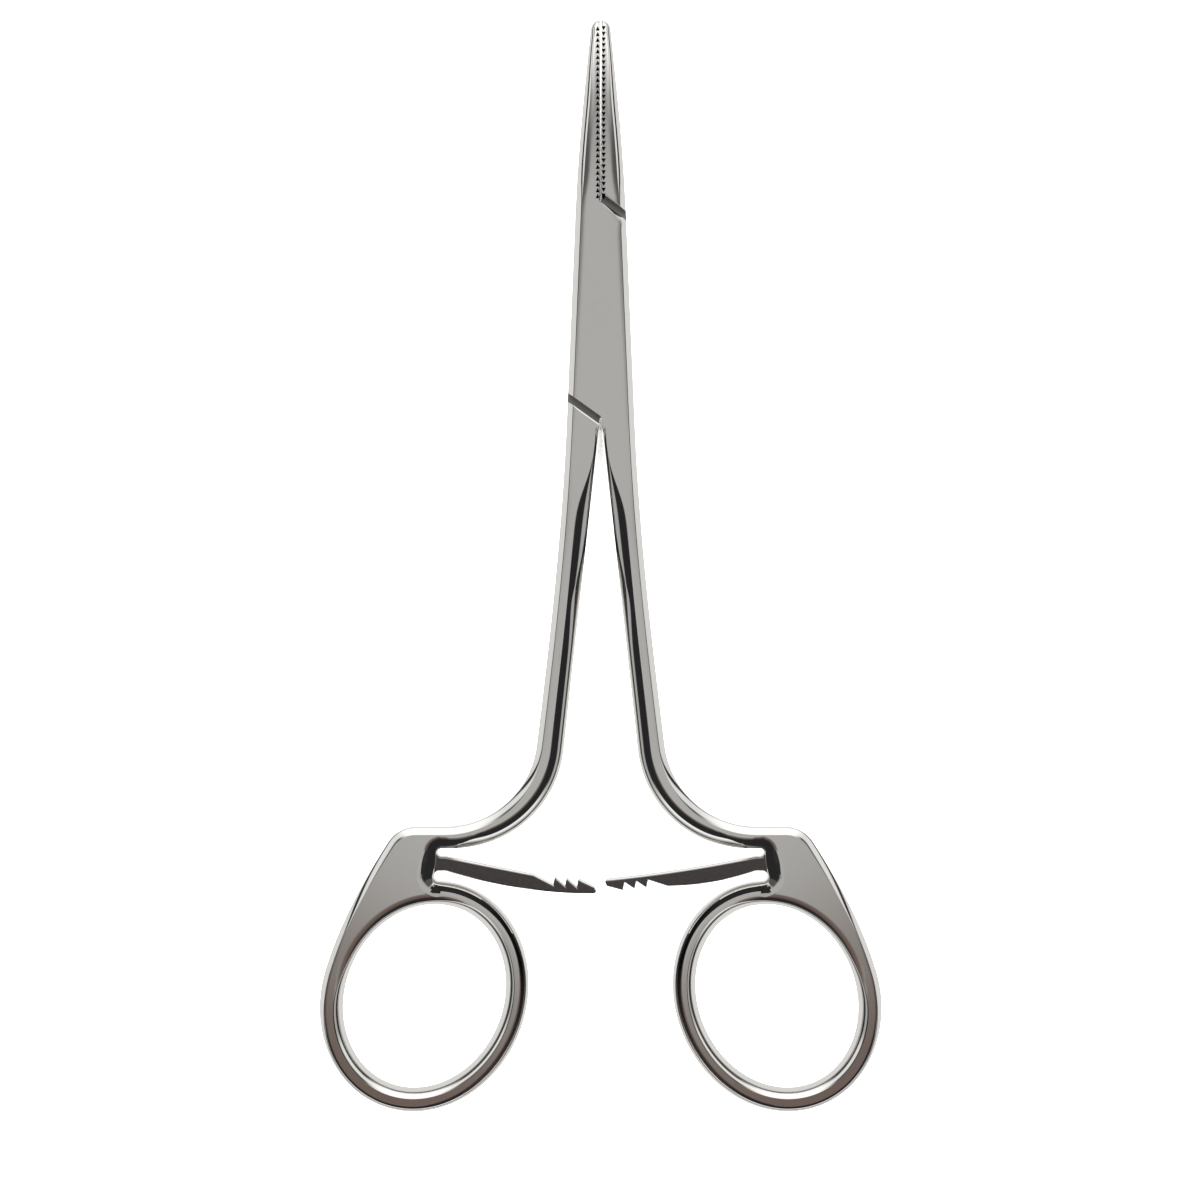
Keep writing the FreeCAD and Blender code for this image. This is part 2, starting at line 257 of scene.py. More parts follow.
def shank_outside(hip):
    """Up the pad's side, over its corner and up the shank's outer edge to the box."""
    join, join_way = ring_place(ring_long, ring_short, pad_join_angle)
    side_way = Vector((math.sin(pad_side_angle), -math.cos(pad_side_angle)))
    down = Vector((shank_end_slope, -1))
    bend_y = pad_top + outer_bend_radius
    bend_x = shank_corner_x * (bend_y + step_rise) / (foot_y + step_rise) + shank_width
    bend_start = Vector((bend_x, bend_y))
    bend_corner = bend_start + down * outer_bend_radius
    pad_corner = Vector((ring_x + pad_corner_reach, pad_top))
    shoulder = corner_arc(pad_corner + side_way, pad_corner, bend_corner, pad_corner_radius)
    bend = corner_arc(pad_corner, bend_corner, bend_start, outer_bend_radius)
    side = blend(join, -join_way, shoulder[0], -side_way, 30)
    shank = blend(bend[-1], -down, hip, Vector((-widening, 1)), 60)
    found = []
    for place in side:
        found.append((place, ring_side.lerp(shouldered, ease_in(place.y, join.y, shoulder[0].y))))
    found += [(place, shouldered) for place in shoulder]
    for k, place in enumerate(bend):
        found.append((place, shouldered.lerp(bevelled, ease_in(k / len(bend), 0.45, 1))))
    return found + [(place, bevelled) for place in shank]


def arm_outline():
    """One arm from above, as places along its outline, each with the dressing of its edge."""
    jaw_root = Vector((-jaw_gap / 2, step_rise + jaw_gap / 2 * step_slope))
    low_corner = step_end(-1, -1)
    high_corner = step_end(1, 1)
    crotch = Vector((jaw_gap / 2, -step_rise - jaw_gap / 2 * step_slope))
    hip = Vector((box_side(crotch.y), crotch.y))
    spare_y = crotch.y - spare
    found = jaw_edges(jaw_root, low_corner)
    found += [(Vector((-box_side(spare_y), spare_y)), bevelled), (Vector((0, spare_y)), broken)]
    found += shank_inside(crotch) + ring_outside() + shank_outside(hip)
    for place in corner_arc(hip, high_corner, jaw_root, plate_corner_radius):
        found.append((place, bevelled.lerp(crisp, ease_in(place.x, box_top_half_width, 2.0))))
    return found


def ring_hole():
    """The finger hole, run so that the metal lies on the left as it does along the outline."""
    found = []
    for angle in range(0, 360, 2):
        away = abs((angle - hole_top_angle + 180) % 360 - 180)
        place = ring_place(ring_inner_long, ring_inner_short, angle)[0]
        found.append((place, hole_top.lerp(hole_edge, ease_in(away, 32, 66))))
    return found


def close_steps(loop):
    """The same loop with no two places the same and no long steps."""
    found = []
    for (place, form), (following, next_form) in zip(loop, loop[1:] + loop[:1]):
        gap = (following - place).length
        if gap < 0.01:
            continue
        count = math.ceil(gap / longest_step)
        for k in range(count):
            found.append((place.lerp(following, k / count), form.lerp(next_form, k / count)))
    return found


def spread_forms(loop):
    """Each place's dressing averaged with its neighbours' along a short run of the edge."""
    found = []
    for k, (place, form) in enumerate(loop):
        total = form.copy()
        weight = 1.0
        for way in (1, -1):
            gone = 0.0
            step = 0
            while gone < dressing_run:
                before = loop[(k + step) % len(loop)][0]
                step += way
                after, near_form = loop[(k + step) % len(loop)]
                length = (after - before).length
                gone += length
                total += near_form * length
                weight += length
        found.append((place, total / weight))
    return found


def inward_ways(loop):
    """At each place, the way in from the edge, longer at corners so that the offsets stay even."""
    ways = []
    for k, (place, form) in enumerate(loop):
        before = (place - loop[k - 1][0]).normalized()
        after = (loop[(k + 1) % len(loop)][0] - place).normalized()
        left_before = Vector((-before.y, before.x))
        left_after = Vector((-after.y, after.x))
        middle = (left_before + left_after).normalized()
        ways.append(middle / max(middle.dot(left_before), 0.5))
    return ways


def edge_section(row, dressing):
    """How far in and how far down a row of the dressed edge lies, from the wall's top inwards."""
    reach, drop, fullness, lead, slope = dressing
    angle = math.pi / 2 * min(row / round_rows, 1)
    left = max(math.cos(angle), 0) ** (2 / fullness)
    down = drop * (1 - math.sin(angle) ** (2 / fullness)) + slope * (reach * left + lead / 2)
    if row <= round_rows:
        return reach * (1 - left), down
    share = (row - round_rows) / lead_rows
    return reach + lead * share, slope * lead / 2 * (1 - share) ** 2


def arm_blank():
    """An arm with dressed edges, before its joint is cut, as a bmesh about the middle plane."""
    form = bmesh.new()
    rail = form.verts.layers.int.new("rail")
    flat = form.faces.layers.int.new("flat")
    rails = []
    edges = []
    for loop in (arm_outline(), ring_hole()):
        loop = spread_forms(close_steps(loop))
        verts = []
        for (place, dressing), inward in zip(loop, inward_ways(loop)):
            vert = form.verts.new((place.x, place.y, 0))
            vert[rail] = len(rails)
            rails.append((place, dressing, inward))
            verts.append(vert)
        edges += [form.edges.new(pair) for pair in zip(verts, verts[1:] + verts[:1])]
    for row in range(round_rows + lead_rows + 1):
        made = bmesh.ops.extrude_edge_only(form, edges=edges)["geom"]
        for vert in [part for part in made if isinstance(part, bmesh.types.BMVert)]:
            place, dressing, inward = rails[vert[rail]]
            across, down = edge_section(row, dressing)
            spot = place + inward * across
            vert.co = (spot.x, spot.y, half_thickness(spot.y) - down)
        edges = [part for part in made if isinstance(part, bmesh.types.BMEdge) and part.is_boundary]
    made = bmesh.ops.triangle_fill(form, use_beauty=True, edges=edges, normal=(0, 0, 1))["geom"]
    for face in [part for part in made if isinstance(part, bmesh.types.BMFace)]:
        face[flat] = 1
    # Lines across the flats, so that they bend with the jaw's taper and the shank's ramp.
    stations = [step_rise + step_gap + 1.2 * k for k in range(17)]
    stations += [-step_rise - step_gap - 1.0 * k for k in range(21)]
    for y in stations:
        parts = form.verts[:] + form.edges[:] + form.faces[:]
        bmesh.ops.bisect_plane(form, geom=parts, plane_co=(0, y, 0), plane_no=(0, 1, 0))
    for vert in form.verts:
        if all(face[flat] for face in vert.link_faces):
            vert.co.z = half_thickness(vert.co.y)
    everything = form.verts[:] + form.edges[:] + form.faces[:]
    bmesh.ops.mirror(form, geom=everything, matrix=Matrix.Identity(4), merge_dist=0.0001, axis="Z")
    bmesh.ops.recalc_face_normals(form, faces=form.faces)
    return form


# The box joint's fit and the ratchets' sizes, all milled. The tenon of one arm runs between the
# plates of the other, and each jaw is cut across with fine grooves.
tenon_thickness = 1.5
tenon_clearance = 0.05
wall_clearance = 0.1
slot_wall_radius = 2.4
wall_end_angle = math.radians(20.0)
relief_angle = math.radians(32.0)
serration_count = 30
serration_pitch = 0.665
serration_depth = 0.48
serration_height = 0.54
serration_floor = 0.35
serration_lead = 0.3
serration_stagger = 0.55
shoulder_bevel = Vector((0.15, 0.08))
ratchet_thickness = 2.0
ratchet_tip_gap = 0.9
ratchet_fall = 2.6
ratchet_bow = 0.45
bow_steps = 16
root_sink = 0.6
ratchet_slope = 0.1
ratchet_tip_width = 1.5
ratchet_face_lean = math.tan(math.radians(6.5))
ratchet_bevel = 0.2
nose_height = 0.8
nose_setback = 0.25
tooth_count = 3
tooth_pitch = 1.35
tooth_depth = 0.92
tooth_lean = 0.18
tooth_start = 2.1
tooth_run_out = 2.2
pin_radius = 1.0
pin_clearance = 0.005
beyond = 20.0


def turned(place, angle):
    """A place turned about the pivot, anticlockwise for a positive angle."""
    return Matrix.Rotation(angle, 2) @ place


def prism(places, low, high, form=None):
    """A straight-sided block over a closed run of places, alone or beside others in one form."""
    form = form or bmesh.new()
    face = form.faces.new([form.verts.new((place.x, place.y, low)) for place in places])
    made = bmesh.ops.extrude_face_region(form, geom=[face])["geom"]
    top = [part for part in made if isinstance(part, bmesh.types.BMVert)]
    bmesh.ops.translate(form, verts=top, vec=(0, 0, high - low))
    bmesh.ops.recalc_face_normals(form, faces=form.faces)
    return form


def root_ledge():
    """Round the ratchet arm's root from its upper edge to its lower one, inside the pad's collar."""
    upper, lower, leave = slot_centres()
    end_x = ring_x - 0.3
    found = sweep_points(upper, Vector((0, -upper_slot_width / 2)), math.pi)
    found += [Vector((stub_x - 1.4, foot_y)), Vector((stub_x - root_sink, foot_y + root_sink))]
    found += [Vector((end_x, foot_y + root_sink)), Vector((end_x, leave.y - root_sink))]
    found.append(ring_place(ring_long - root_sink, ring_short - root_sink, slot_leave_angle - 6)[0])
    for k in range(11):
        found.append(ring_place(ring_long, ring_short, slot_leave_angle - 10 + k)[0])
    return found + sweep_points(lower, leave - lower, math.pi)


def ratchet_arm(up):
    """The ratchet arm with its saw teeth on the upper edge (up is 1) or the lower one (up is -1)."""
    tip_x = ratchet_tip_gap / 2
    back_y, toothed_y = (root_bottom, root_top) if up > 0 else (root_top, root_bottom)
    tip_y = back_y - ratchet_fall

    def row(x):
        return Vector((x, tip_y + up * ratchet_tip_width + ratchet_slope * (x - tip_x)))

    def bowed(start, end, bow):
        found = []
        for k in range(1, bow_steps):
            sag = bow * 4 * k * (bow_steps - k) / bow_steps ** 2
            found.append(start.lerp(end, k / bow_steps) - Vector((0, sag)))
        return found

    back_root = Vector((stub_x, back_y))
    toothed_root = Vector((stub_x, toothed_y))
    back_tip = Vector((tip_x + nose_setback, tip_y))
    places = [Vector((tip_x, tip_y + up * nose_height / 3))]
    places.append(Vector((tip_x + nose_setback, tip_y + up * nose_height)))
    for k in range(tooth_count):
        crest = row(tip_x + tooth_start + k * tooth_pitch)
        places += [crest, crest + Vector((tooth_lean, -up * tooth_depth))]
    places.append(row(places[-1].x + tooth_run_out))
    places += bowed(places[-1], toothed_root, ratchet_bow / 2 - 0.2 * up) + [toothed_root]
    places += root_ledge()[::int(up)] + [back_root]
    places += bowed(back_root, back_tip, ratchet_bow + 0.22 * up) + [back_tip]
    half = ratchet_thickness / 2
    form = prism(places, -half, half)
    rims = [edge for edge in form.edges if abs(edge.verts[0].co.z - edge.verts[1].co.z) < half]
    bmesh.ops.bevel(
        form, geom=rims, offset=ratchet_bevel, offset_type="OFFSET", affect="EDGES", segments=3,
        profile=0.5, material=-1, clamp_overlap=False,
    )
    middle_y = (root_top + root_bottom) / 2
    for vert in form.verts:
        away = min(max((stub_x - vert.co.x) / (stub_x - tip_x), 0), 1)
        centre_y = middle_y - ratchet_fall * away
        vert.co.z *= 1 + ratchet_face_lean * (vert.co.y - centre_y - 0.8) / half
    return form


def serrations(side):
    """Blind cuts across the inner face of a jaw: side is -1 for the left jaw, 1 for the right one."""
    lead = serration_lead + (serration_stagger if side > 0 else 0)
    face = jaw_gap / 2
    form = bmesh.new()
    for k in range(serration_count):
        y = step_rise + lead + k * serration_pitch
        point = Vector((side * (face + serration_depth / 2), y - side * serration_height))
        places = [Vector((side * (face - 0.01), y)), Vector((side * (face + serration_depth), y)), point]
        for up in (1, -1):
            prism(places, up * serration_floor, up * beyond, form)
    return form


def wall_touch():
    """Where the slot's left wall, run down from the root of the left jaw, passes the pivot."""
    root = Vector((-jaw_gap / 2, step_rise + jaw_gap / 2 * step_slope))
    spread = math.acos(slot_wall_radius / root.length)
    return turned(root, spread) * (slot_wall_radius / root.length), root


def slot():
    """The space through the box that the tenon turns in."""
    touch, root = wall_touch()
    end_way = turned(Vector((-1, 0)), -wall_end_angle)
    reach = slot_wall_radius / math.cos(touch.angle(end_way))
    half = [root, end_way * reach, end_way * beyond, Vector((-beyond, -beyond)), Vector((0, -beyond))]
    height = tenon_thickness / 2 + tenon_clearance
    return prism(half + [-place for place in half], -height, height)


def tenon_reach():
    """The plan of everything that the tenoned arm keeps: its jaw, its tenon and its shank."""
    touch, root = wall_touch()
    radius = slot_wall_radius - wall_clearance
    along = touch - root
    touch = touch * (radius / slot_wall_radius)
    start = touch - along * (touch.x / along.x)
    relief_way = turned(Vector((-1, 0)), relief_angle)
    sweep = relief_way.angle(touch)
    far = 10 * beyond
    half = [start] + sweep_points(Vector((0, 0)), touch, sweep)
    half += [relief_way * far, Vector((-far, -far)), Vector((0, -far))]
    return prism(half + [-place for place in half], -beyond, beyond)


def shoulders(up):
    """The slab taken off the tenoned arm on one side of its tenon, with a lightly broken edge."""
    across = turned(Vector((1, 0)), -step_angle)
    along = turned(across, math.pi / 2)
    reach = step_distance + step_gap
    past = 8
    corners = [along * reach + across * beyond, along * reach - across * beyond]
    corners += [-corner for corner in corners]
    low = tenon_thickness / 2
    rim = box_thickness / 2 - shoulder_bevel.y
    form = prism(corners, low, rim)
    top = [face for face in form.faces if all(vert.co.z > low for vert in face.verts)]
    made = bmesh.ops.extrude_face_region(form, geom=top)["geom"]
    for vert in [part for part in made if isinstance(part, bmesh.types.BMVert)]:
        side = math.copysign(1, vert.co.xy.dot(along))
        outward = along * side * past * shoulder_bevel.x
        vert.co += outward.to_3d() + Vector((0, 0, past * shoulder_bevel.y))
    bmesh.ops.delete(form, geom=top, context="FACES_ONLY")
    bmesh.ops.scale(form, verts=form.verts, vec=(1, 1, up))
    bmesh.ops.recalc_face_normals(form, faces=form.faces)
    return form


def lower_step():
    """What is milled away below the plates' lower step, left of the shank's inner edge."""
    crotch = Vector((jaw_gap / 2, -step_rise - jaw_gap / 2 * step_slope))
    along_shank = (Vector((shank_corner_x, foot_y)) - crotch).normalized()
    places = [crotch + Vector((-1, step_slope)) * beyond, crotch]
    places += [crotch + along_shank * (spare + 0.2), Vector((-beyond, -beyond))]
    return prism(places, -beyond, beyond)


def bore():
    """The rivet's hole, a hair wider than the rivet."""
    form = bmesh.new()
    radius = pin_radius + pin_clearance
    bmesh.ops.create_cone(
        form, cap_ends=True, segments=96, radius1=radius, radius2=radius, depth=2 * beyond
    )
    return form


def flipped(form):
    """The same form mirrored left to right."""
    bmesh.ops.scale(form, verts=form.verts, vec=(-1, 1, 1))
    bmesh.ops.reverse_faces(form, faces=form.faces)
    return form


def as_object(name, form):
    """The form as an object in the scene."""
    mesh = bpy.data.meshes.new(name)
    form.to_mesh(mesh)
    form.free()
    made = bpy.data.objects.new(name, mesh)
    bpy.context.scene.collection.objects.link(made)
    return made


def machined(name, blank, operations):
    """The blank after each operation in turn, as one finished mesh."""
    body = as_object(name, blank)
    tools = []
    for kind, form in operations:
        tools.append(as_object("tool", form))
        cut = body.modifiers.new("cut", "BOOLEAN")
        cut.operation = kind
        cut.solver = "EXACT"
        cut.object = tools[-1]
    shaped = body.evaluated_get(bpy.context.evaluated_depsgraph_get())
    mesh = bpy.data.meshes.new_from_object(shaped)
    for tool in tools + [body]:
        bpy.data.objects.remove(tool)
    return mesh


def face_way(y, up):
    """The way that the arm's top (up is 1) or bottom (up is -1) face looks at a place along it."""
    step = 0.01
    slope = (half_thickness(y + step) - half_thickness(y - step)) / (2 * step)
    return Vector((0, -slope, up)).normalized()


def settle_shading(mesh):
    """Shades the ground faces as true as they are, whatever the triangles under them."""
    ways = []
    near = math.cos(math.radians(20))
    for face in mesh.polygons:
        for index in face.vertices:
            x, y, z = mesh.vertices[index].co / mm
            z -= box_middle
            way = face_way(y, math.copysign(1, z))
            if abs(z) > half_thickness(y) - 0.002 and face.normal.dot(way) > near:
                ways.append(way)
            elif face.area > 0.3 * mm * mm and abs(face.normal.z) > 0.5:
                ways.append(face.normal)
            else:
                ways.append(Vector((0, 0, 0)))
    mesh.normals_split_custom_set(ways)


def finished(name, mesh, body, crease=math.radians(16)):
    """The machined mesh brought to metres in its place, creased at its corners, as a piece."""
    form = bmesh.new()
    form.from_mesh(mesh)
    bmesh.ops.remove_doubles(form, verts=form.verts, dist=0.0005)
    bmesh.ops.dissolve_degenerate(form, edges=form.edges, dist=0.0005)
    bmesh.ops.translate(form, verts=form.verts, vec=(0, 0, box_middle))
    bmesh.ops.scale(form, verts=form.verts, vec=(mm, mm, mm))
    for face in form.faces:
        face.smooth = True
    for edge in form.edges:
        edge.smooth = edge.calc_face_angle(math.pi) < crease
    piece = as_object(name, form)
    settle_shading(piece.data)
    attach(piece, body)
    return piece


left_jaw_arm = machined("left jaw arm", arm_blank(), [
    ("UNION", ratchet_arm(-1)), ("DIFFERENCE", lower_step()), ("DIFFERENCE", slot()),
    ("DIFFERENCE", serrations(-1)), ("DIFFERENCE", bore()),
])
right_jaw_arm = machined("right jaw arm", flipped(arm_blank()), [
    ("UNION", flipped(ratchet_arm(1))), ("DIFFERENCE", flipped(lower_step())),
    ("INTERSECT", tenon_reach()),
    ("DIFFERENCE", shoulders(1)), ("DIFFERENCE", shoulders(-1)),
    ("DIFFERENCE", serrations(1)), ("DIFFERENCE", bore()),
])
boxed_arm = finished("boxed_arm", left_jaw_arm, "female")
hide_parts("female_arm")
tenoned_arm = finished("tenoned_arm", right_jaw_arm, "male")
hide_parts("male_arm")


# The rivet, turned from the same steel. It is pressed into both plates, peened into their
# countersinks, ground flush and polished with them, so that only a hairline shows.
rivet = bmesh.new()
bmesh.ops.create_cone(
    rivet, cap_ends=True, segments=96, radius1=pin_radius, radius2=pin_radius, depth=box_thickness
)
rivet_piece = finished("rivet", machined("rivet", rivet, []), "female")
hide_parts("hinge_pin")


# The steel's finish. The outside is mirror polished, with the faint marks of soft wheels, and a
# painted dark reflection, near-black steel colour, runs along each ring from the ratchet's root.
# The tenon and the slot keep the milling cutter's duller surface, darkened by painted shade, the
# jaws' grooves are painted black as shade, and the ratchet arms are only satin finished.
def socket_value(group, name, value, low=0.0, high=1000.0):
    made = group.interface.new_socket(name=name, in_out="INPUT", socket_type="NodeSocketFloat")
    made.default_value = value
    made.min_value = low
    made.max_value = high


def wheel_marks_group():
    """Marks of polishing or milling: fine lines along the instrument over soft uneven patches."""
    group = bpy.data.node_groups.new("wheel_marks", "ShaderNodeTree")
    socket_value(group, "Line Scale", 900.0)
    socket_value(group, "Patch Scale", 160.0)
    socket_value(group, "Patch Share", 0.5, 0.0, 1.0)
    group.interface.new_socket(name="Marks", in_out="OUTPUT", socket_type="NodeSocketFloat")
    nodes, links = group.nodes, group.links
    given = nodes.new("NodeGroupInput")
    given_out = nodes.new("NodeGroupOutput")
    place = nodes.new("ShaderNodeTexCoord")
    stretch = nodes.new("ShaderNodeMapping")
    stretch.inputs["Scale"].default_value = (1.0, 0.06, 1.0)
    links.new(place.outputs["Object"], stretch.inputs["Vector"])
    lines = nodes.new("ShaderNodeTexNoise")
    lines.inputs["Detail"].default_value = 3.0
    links.new(stretch.outputs["Vector"], lines.inputs["Vector"])
    links.new(given.outputs["Line Scale"], lines.inputs["Scale"])
    patches = nodes.new("ShaderNodeTexNoise")
    patches.inputs["Detail"].default_value = 4.0
    links.new(place.outputs["Object"], patches.inputs["Vector"])
    links.new(given.outputs["Patch Scale"], patches.inputs["Scale"])
    both = nodes.new("ShaderNodeMix")
    links.new(given.outputs["Patch Share"], both.inputs["Factor"])
    links.new(lines.outputs["Fac"], both.inputs["A"])
    links.new(patches.outputs["Fac"], both.inputs["B"])
    links.new(both.outputs["Result"], given_out.inputs["Marks"])
    return group


wheel_marks = wheel_marks_group()


def steel(name, colour, dull, roughness, line_scale, patch_scale, patch_share, depth):
    """Bare steel: its colour and roughness both vary with the marks, which also catch the light."""
    material = bpy.data.materials.new(name)
    material.use_nodes = True
    nodes, links = material.node_tree.nodes, material.node_tree.links
    surface = nodes["Principled BSDF"]
    surface.inputs["Metallic"].default_value = 1.0
    marks = nodes.new("ShaderNodeGroup")
    marks.node_tree = wheel_marks
    marks.inputs["Line Scale"].default_value = line_scale
    marks.inputs["Patch Scale"].default_value = patch_scale
    marks.inputs["Patch Share"].default_value = patch_share
    tint = nodes.new("ShaderNodeMix")
    tint.data_type = "RGBA"
    tint.inputs["A"].default_value = (*dull, 1.0)
    tint.inputs["B"].default_value = (*colour, 1.0)
    links.new(marks.outputs["Marks"], tint.inputs["Factor"])
    links.new(tint.outputs["Result"], surface.inputs["Base Color"])
    shine = nodes.new("ShaderNodeMapRange")
    shine.inputs["To Min"].default_value = roughness[0]
    shine.inputs["To Max"].default_value = roughness[1]
    links.new(marks.outputs["Marks"], shine.inputs["Value"])
    links.new(shine.outputs["Result"], surface.inputs["Roughness"])
    relief = nodes.new("ShaderNodeBump")
    relief.inputs["Distance"].default_value = depth
    links.new(marks.outputs["Marks"], relief.inputs["Height"])
    links.new(relief.outputs["Normal"], surface.inputs["Normal"])
    return material


polished = steel(
    "polished steel", (0.67, 0.655, 0.63), (0.65, 0.64, 0.615), (0.05, 0.11),
    line_scale=2500.0, patch_scale=260.0, patch_share=0.5, depth=0.0000004,
)
satin = steel(
    "satin ratchet steel", (0.6, 0.59, 0.57), (0.54, 0.53, 0.52), (0.16, 0.26),
    line_scale=2600.0, patch_scale=3600.0, patch_share=0.8, depth=0.0000008,
)
# Painted shade: the jaws' deep narrow grooves get a near-black colour for the shade that fills them.
groove_painted_shade = steel(
    "groove steel painted black as shade", (0.05, 0.05, 0.048), (0.02, 0.02, 0.02), (0.4, 0.6),
    line_scale=3000.0, patch_scale=1500.0, patch_share=0.5, depth=0.000002,
)
# Painted dark reflection: a near-black colour in place of the dark surroundings that the ring's band
# mirrors, fading to brownish steel down the ring.
painted_dark_reflection = steel(
    "painted dark reflection steel", (0.05, 0.049, 0.047), (0.03, 0.03, 0.029), (0.16, 0.26),
    line_scale=2600.0, patch_scale=3600.0, patch_share=0.8, depth=0.0000008,
)
# Partly real, partly painted shade: the milled faces are rougher, and their colour is darkened for the
# shade deep inside the joint.
milled = steel(
    "milled joint steel with painted shade", (0.4, 0.395, 0.385), (0.3, 0.295, 0.29), (0.32, 0.5),
    line_scale=3000.0, patch_scale=900.0, patch_share=0.4, depth=0.000004,
)
rivet_steel = steel(
    "ground rivet steel", (0.67, 0.655, 0.63), (0.65, 0.64, 0.615), (0.05, 0.12),
    line_scale=2500.0, patch_scale=300.0, patch_share=0.5, depth=0.0000005,
)
band_end_angle = -130
band_dark_y = -74.5
band_clear_y = -87.5


def fade_painted_reflection(material):
    """Fades the painted dark reflection into a plain brownish steel colour down the ring's inner side.
    """
    nodes, links = material.node_tree.nodes, material.node_tree.links
    surface = nodes["Principled BSDF"]
    dark = surface.inputs["Base Color"].links[0].from_socket
    place = nodes.new("ShaderNodeTexCoord")
    apart = nodes.new("ShaderNodeSeparateXYZ")
    links.new(place.outputs["Object"], apart.inputs["Vector"])
    along = nodes.new("ShaderNodeMapRange")
    along.inputs["From Min"].default_value = band_dark_y * mm
    along.inputs["From Max"].default_value = band_clear_y * mm
    links.new(apart.outputs["Y"], along.inputs["Value"])
    fade = nodes.new("ShaderNodeMix")
    fade.data_type = "RGBA"
    fade.inputs["B"].default_value = (0.6, 0.54, 0.5, 1.0)
    links.new(along.outputs["Result"], fade.inputs["Factor"])
    links.new(dark, fade.inputs["A"])
    links.new(fade.outputs["Result"], surface.inputs["Base Color"])


fade_painted_reflection(painted_dark_reflection)


def in_painted_dark_reflection(x, y):
    """Whether a place lies on the band of painted dark reflection that runs from the ratchet's root
    along the ring.
    """
    lean = Matrix.Rotation(-tilt, 2) @ (Vector((x, y)) - Vector((ring_x, ring_y)))
    turn = math.degrees(math.atan2(lean.x / ring_short, lean.y / ring_long))
    depth = (1 - math.hypot(lean.x / ring_short, lean.y / ring_long)) * ring_long
    return band_end_angle < turn < slot_leave_angle + 4 and 0.4 < depth < 1.56


def finish_zones(piece):
    """Polished, but satin on the ratchet arm, milled and darkened by painted shade in the joint, painted
    black as shade in the grooves, and a painted dark reflection on the band.
    """
    for material in (polished, satin, milled, groove_painted_shade, painted_dark_reflection):
        piece.data.materials.append(material)
    for face in piece.data.polygons:
        x, y, z = face.center / mm
        height = abs(z - box_middle)
        low = height < ratchet_thickness / 2 + 0.16 and abs(face.normal.z) > 0.93
        on_root = stub_x - 0.6 <= abs(x) < stub_x + 1.5 and root_bottom - 0.02 < y < root_top + 0.02
        beside_root = abs(x) < stub_x - 0.6 and root_bottom - ratchet_fall - 0.6 < y < root_top
        on_ratchet = low and (on_root or beside_root)
        near_box = abs(y) < step_rise + step_gap + 2
        # Faces inside the joint take the milled finish with its painted shade.
        in_joint_painted_shade = near_box and height < tenon_thickness / 2 + tenon_clearance + 0.01
        # Faces on the band take the painted dark reflection.
        on_painted_reflection = in_painted_dark_reflection(abs(x), y) and height < shank_thickness / 2 - 0.02
        in_jaw = abs(x) < jaw_gap / 2 + serration_depth + 0.02 and y > step_rise + 0.3
        # Walls and floors of the jaws' grooves take the painted shade.
        takes_groove_painted_shade = in_jaw and (abs(face.normal.z) < 0.2 or height < serration_floor + 0.1)
        choices = (takes_groove_painted_shade, 3), (on_ratchet, 1), (in_joint_painted_shade, 2), (on_painted_reflection, 4)
        face.material_index = next((index for chosen, index in choices if chosen), 0)


finish_zones(boxed_arm)
finish_zones(tenoned_arm)
rivet_piece.data.materials.append(rivet_steel)


# The setting. The instrument lies flat on white card in a photographer's light tent: a grey roof
# overhead, dark gaps at its sides and bright panels beyond, which the steel mirrors.
floor_form = bmesh.new()
bmesh.ops.create_grid(floor_form, x_segments=1, y_segments=1, size=1.5)
floor = as_object("white_card", floor_form)


def card():
    """White card, so pale that only the deepest shade shows, and dark beyond the tent."""
    material = bpy.data.materials.new("white card")
    material.use_nodes = True
    nodes, links = material.node_tree.nodes, material.node_tree.links
    nodes.remove(nodes["Principled BSDF"])
    paper = nodes.new("ShaderNodeBsdfDiffuse")
    glow = nodes.new("ShaderNodeEmission")
    rays = nodes.new("ShaderNodeLightPath")
    pale = nodes.new("ShaderNodeMix")
    pale.data_type = "RGBA"
    pale.inputs["A"].default_value = (0.9, 0.9, 0.9, 1.0)
    pale.inputs["B"].default_value = (3.4, 3.4, 3.4, 1.0)
    links.new(rays.outputs["Is Camera Ray"], pale.inputs["Factor"])
    links.new(pale.outputs["Result"], paper.inputs["Color"])
    place = nodes.new("ShaderNodeTexCoord")
    away = nodes.new("ShaderNodeVectorMath")
    away.operation = "LENGTH"
    links.new(place.outputs["Object"], away.inputs["Vector"])
    reach = nodes.new("ShaderNodeMapRange")
    reach.inputs["From Min"].default_value = 0.14
    reach.inputs["From Max"].default_value = 0.3
    reach.inputs["To Min"].default_value = 1.0
    reach.inputs["To Max"].default_value = 0.05
    links.new(away.outputs["Value"], reach.inputs["Value"])
    links.new(reach.outputs["Result"], glow.inputs["Strength"])
    mixed = nodes.new("ShaderNodeMixShader")
    links.new(rays.outputs["Is Glossy Ray"], mixed.inputs["Fac"])
    links.new(paper.outputs["BSDF"], mixed.inputs[1])
    links.new(glow.outputs["Emission"], mixed.inputs[2])
    links.new(mixed.outputs["Shader"], nodes["Material Output"].inputs["Surface"])
    return material


floor.data.materials.append(card())


def tent_ramp(nodes, stops):
    """Brightness or colour of the tent by its angle from overhead, as (degrees, colour) stops."""
    ramp = nodes.new("ShaderNodeValToRGB")
    elements = ramp.color_ramp.elements
    while len(elements) < len(stops):
        elements.new(0.5)
    for element, (degrees, colour) in zip(elements, stops):
        element.position = degrees / 180
        element.color = (*colour, 1.0)
    return ramp


